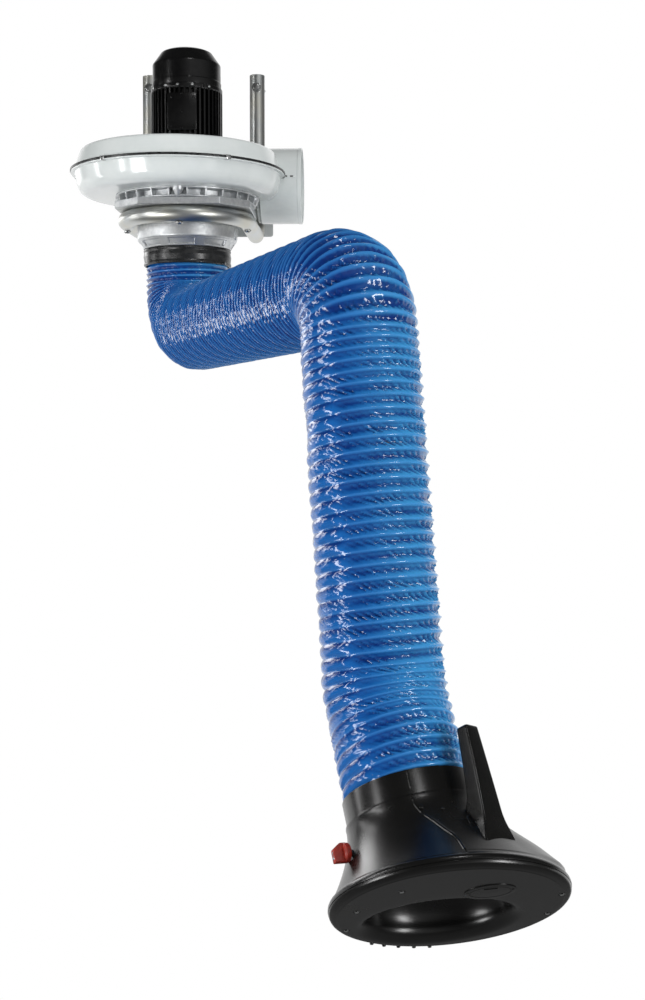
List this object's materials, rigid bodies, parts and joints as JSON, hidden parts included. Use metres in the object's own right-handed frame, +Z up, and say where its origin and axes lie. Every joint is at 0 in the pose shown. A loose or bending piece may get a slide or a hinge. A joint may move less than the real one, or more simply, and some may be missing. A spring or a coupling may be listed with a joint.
{
  "type": "fume extraction arm",
  "caption": "Wall-mounted fume extraction arm: a bent tube bracket carries a fan and motor, and a jointed arm inside a ribbed hose ends in a tilting hood with a damper.",
  "frame": {"origin": "middle of the wall plate's back face", "axes": "+X to the right seen from the front, +Y into the wall, +Z up"},
  "size_m": [0.9108, 1.6094, 1.5455],
  "materials": {
    "plate_paint": "satin",
    "zinc": "satin",
    "cast": "satin",
    "enamel": "gloss",
    "motor_paint": "gloss",
    "rubber": "matte",
    "abs": "satin",
    "iron": "matte",
    "steel": "satin",
    "arm_alloy": "satin",
    "vinyl": "gloss",
    "red_plastic": "satin"
  },
  "bodies": {
    "bracket": {"wall_plate": "plate_paint", "bracket_tube": "zinc", "upright_screw_left": "zinc", "upright_screw_right": "zinc", "upright_spacer_left": "rubber", "upright_spacer_right": "rubber", "leg_bolt_left": "zinc", "leg_bolt_right": "zinc", "loop_screw_left": "zinc", "loop_screw_front": "zinc", "loop_screw_right": "zinc", "carrier_plate": "cast", "cast_ring": "cast", "swivel_bearing": "abs", "fan_lower_shell": "enamel", "casing_seal": "rubber", "fan_upper_shell": "enamel", "outlet_duct": "enamel", "motor_flange": "motor_paint", "motor_housing": "motor_paint", "motor_end_shield": "motor_paint", "fan_cowl": "motor_paint", "stator_core": "iron", "motor_bearing_lower": "steel", "motor_bearing_upper": "steel", "terminal_box": "motor_paint", "terminal_lid": "motor_paint", "cable_gland": "abs"},
    "rotor": {"motor_shaft": "steel", "rotor_core": "iron", "impeller": "steel", "impeller_nut": "steel", "cooling_fan": "abs"},
    "swivel": {"swivel_sleeve": "cast", "swivel_cone": "cast", "hose_band": "rubber", "shoulder_post": "arm_alloy", "hose_shoulder_bend": "vinyl"},
    "upper_arm": {"upper_arm_beam": "arm_alloy", "shoulder_pin": "zinc", "hose_guide_inner": "abs", "hose_guide_outer": "abs", "hose_upper_run": "vinyl", "hose_elbow_bend": "vinyl"},
    "lower_arm": {"lower_arm_beam": "arm_alloy", "elbow_pin": "zinc", "hose_guide_lower": "abs", "hose_lower_run": "vinyl", "hose_hood_bend": "vinyl"},
    "hood_hanger": {"hood_collar": "abs", "hood_pin": "zinc"},
    "hood": {"hood_shell": "abs", "hood_face": "abs", "hood_handle": "abs", "lamp_cover": "abs"},
    "damper": {"damper_spindle": "steel", "damper_blade": "steel", "damper_knob": "red_plastic"}
  },
  "joints": [
    {"name": "fan_spin", "type": "hinge", "parent": "bracket", "child": "rotor", "pos_m": [0, -0.28, 0.1], "axis": [0, 0, 1], "continuous": true},
    {"name": "arm_swivel", "type": "hinge", "parent": "bracket", "child": "swivel", "pos_m": [0, -0.28, -0.06], "axis": [0, 0, 1], "range_deg": [-111, 68]},
    {"name": "shoulder", "type": "hinge", "parent": "swivel", "child": "upper_arm", "pos_m": [0, -0.28, -0.289], "axis": [-0.9278, -0.373, 0], "range_deg": [-35, 25], "deforming": ["hose_shoulder_bend"]},
    {"name": "elbow", "type": "hinge", "parent": "upper_arm", "child": "lower_arm", "pos_m": [0.37298, -1.20781, -0.28202], "axis": [-0.9278, -0.373, 0], "range_deg": [-33, 62], "deforming": ["hose_elbow_bend"]},
    {"name": "hood_tilt", "type": "hinge", "parent": "lower_arm", "child": "hood_hanger", "pos_m": [0.41871, -1.32158, -0.88467], "axis": [-0.9278, -0.373, 0], "range_deg": [-75, 35], "deforming": ["hose_hood_bend"]},
    {"name": "hood_turn", "type": "hinge", "parent": "hood_hanger", "child": "hood", "pos_m": [0.41871, -1.32158, -0.88467], "axis": [-0.2139, 0.5322, 0.8191], "continuous": true},
    {"name": "damper", "type": "hinge", "parent": "hood", "child": "damper", "pos_m": [0.46578, -1.43866, -1.06489], "axis": [0.8851, 0.4604, -0.0679], "range_deg": [0, 90]}
  ]
}
